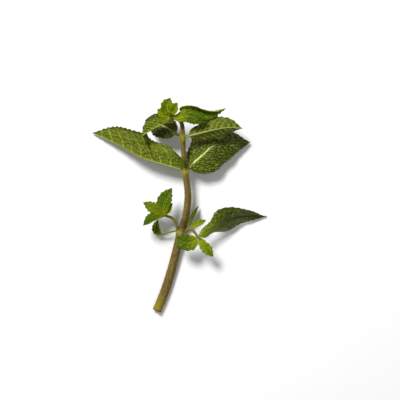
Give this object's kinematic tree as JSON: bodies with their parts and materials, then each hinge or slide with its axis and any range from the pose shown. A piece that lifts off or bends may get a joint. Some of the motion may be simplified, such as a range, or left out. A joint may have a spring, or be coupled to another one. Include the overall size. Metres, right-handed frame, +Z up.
{
  "type": "mint sprig",
  "caption": "Cut sprig of fresh mint lying on a table: bent square stem with a clean cut end, serrated quilted leaves in opposite pairs, short side shoots and a young leaf rosette at the tip.",
  "frame": {"origin": "middle of the space the sprig takes on the table, at its lowest point", "axes": "+Y from the cut end of the stem towards the leafy tip, +Z up from the table, +X to the right of the stem as seen from above with the tip away"},
  "size_m": [0.0958, 0.1158, 0.0261],
  "materials": {
    "stem": "satin",
    "shoot_stem": "satin",
    "mature_leaf": "satin",
    "middle_leaf": "satin",
    "young_leaf": "satin"
  },
  "bodies": {
    "root": {"main_stem": "stem", "left_shoot_stem": "shoot_stem", "right_shoot_stem": "shoot_stem", "second_left_leaf": "mature_leaf", "second_right_leaf": "mature_leaf", "third_right_leaf": "mature_leaf", "third_left_leaf": "mature_leaf", "fourth_left_leaf": "middle_leaf", "fourth_right_leaf": "middle_leaf", "fifth_right_leaf": "middle_leaf", "fifth_left_leaf": "young_leaf", "tip_rear_leaf": "young_leaf", "tip_right_leaf": "young_leaf", "tip_left_leaf": "young_leaf", "tip_front_leaflet": "young_leaf", "tip_back_leaflet": "young_leaf", "second_node_bud": "young_leaf", "third_node_bud": "young_leaf", "first_left_leaf": "middle_leaf", "first_right_leaf": "middle_leaf", "left_shoot_upper_leaf": "middle_leaf", "left_shoot_far_leaf": "young_leaf", "left_shoot_lower_leaf": "middle_leaf", "left_shoot_near_leaf": "young_leaf", "left_shoot_bud": "young_leaf", "right_shoot_left_leaf": "middle_leaf", "right_shoot_long_leaf": "mature_leaf", "right_shoot_lower_leaf": "young_leaf", "right_shoot_small_leaf": "young_leaf", "right_shoot_bud": "young_leaf"}
  },
  "joints": []
}
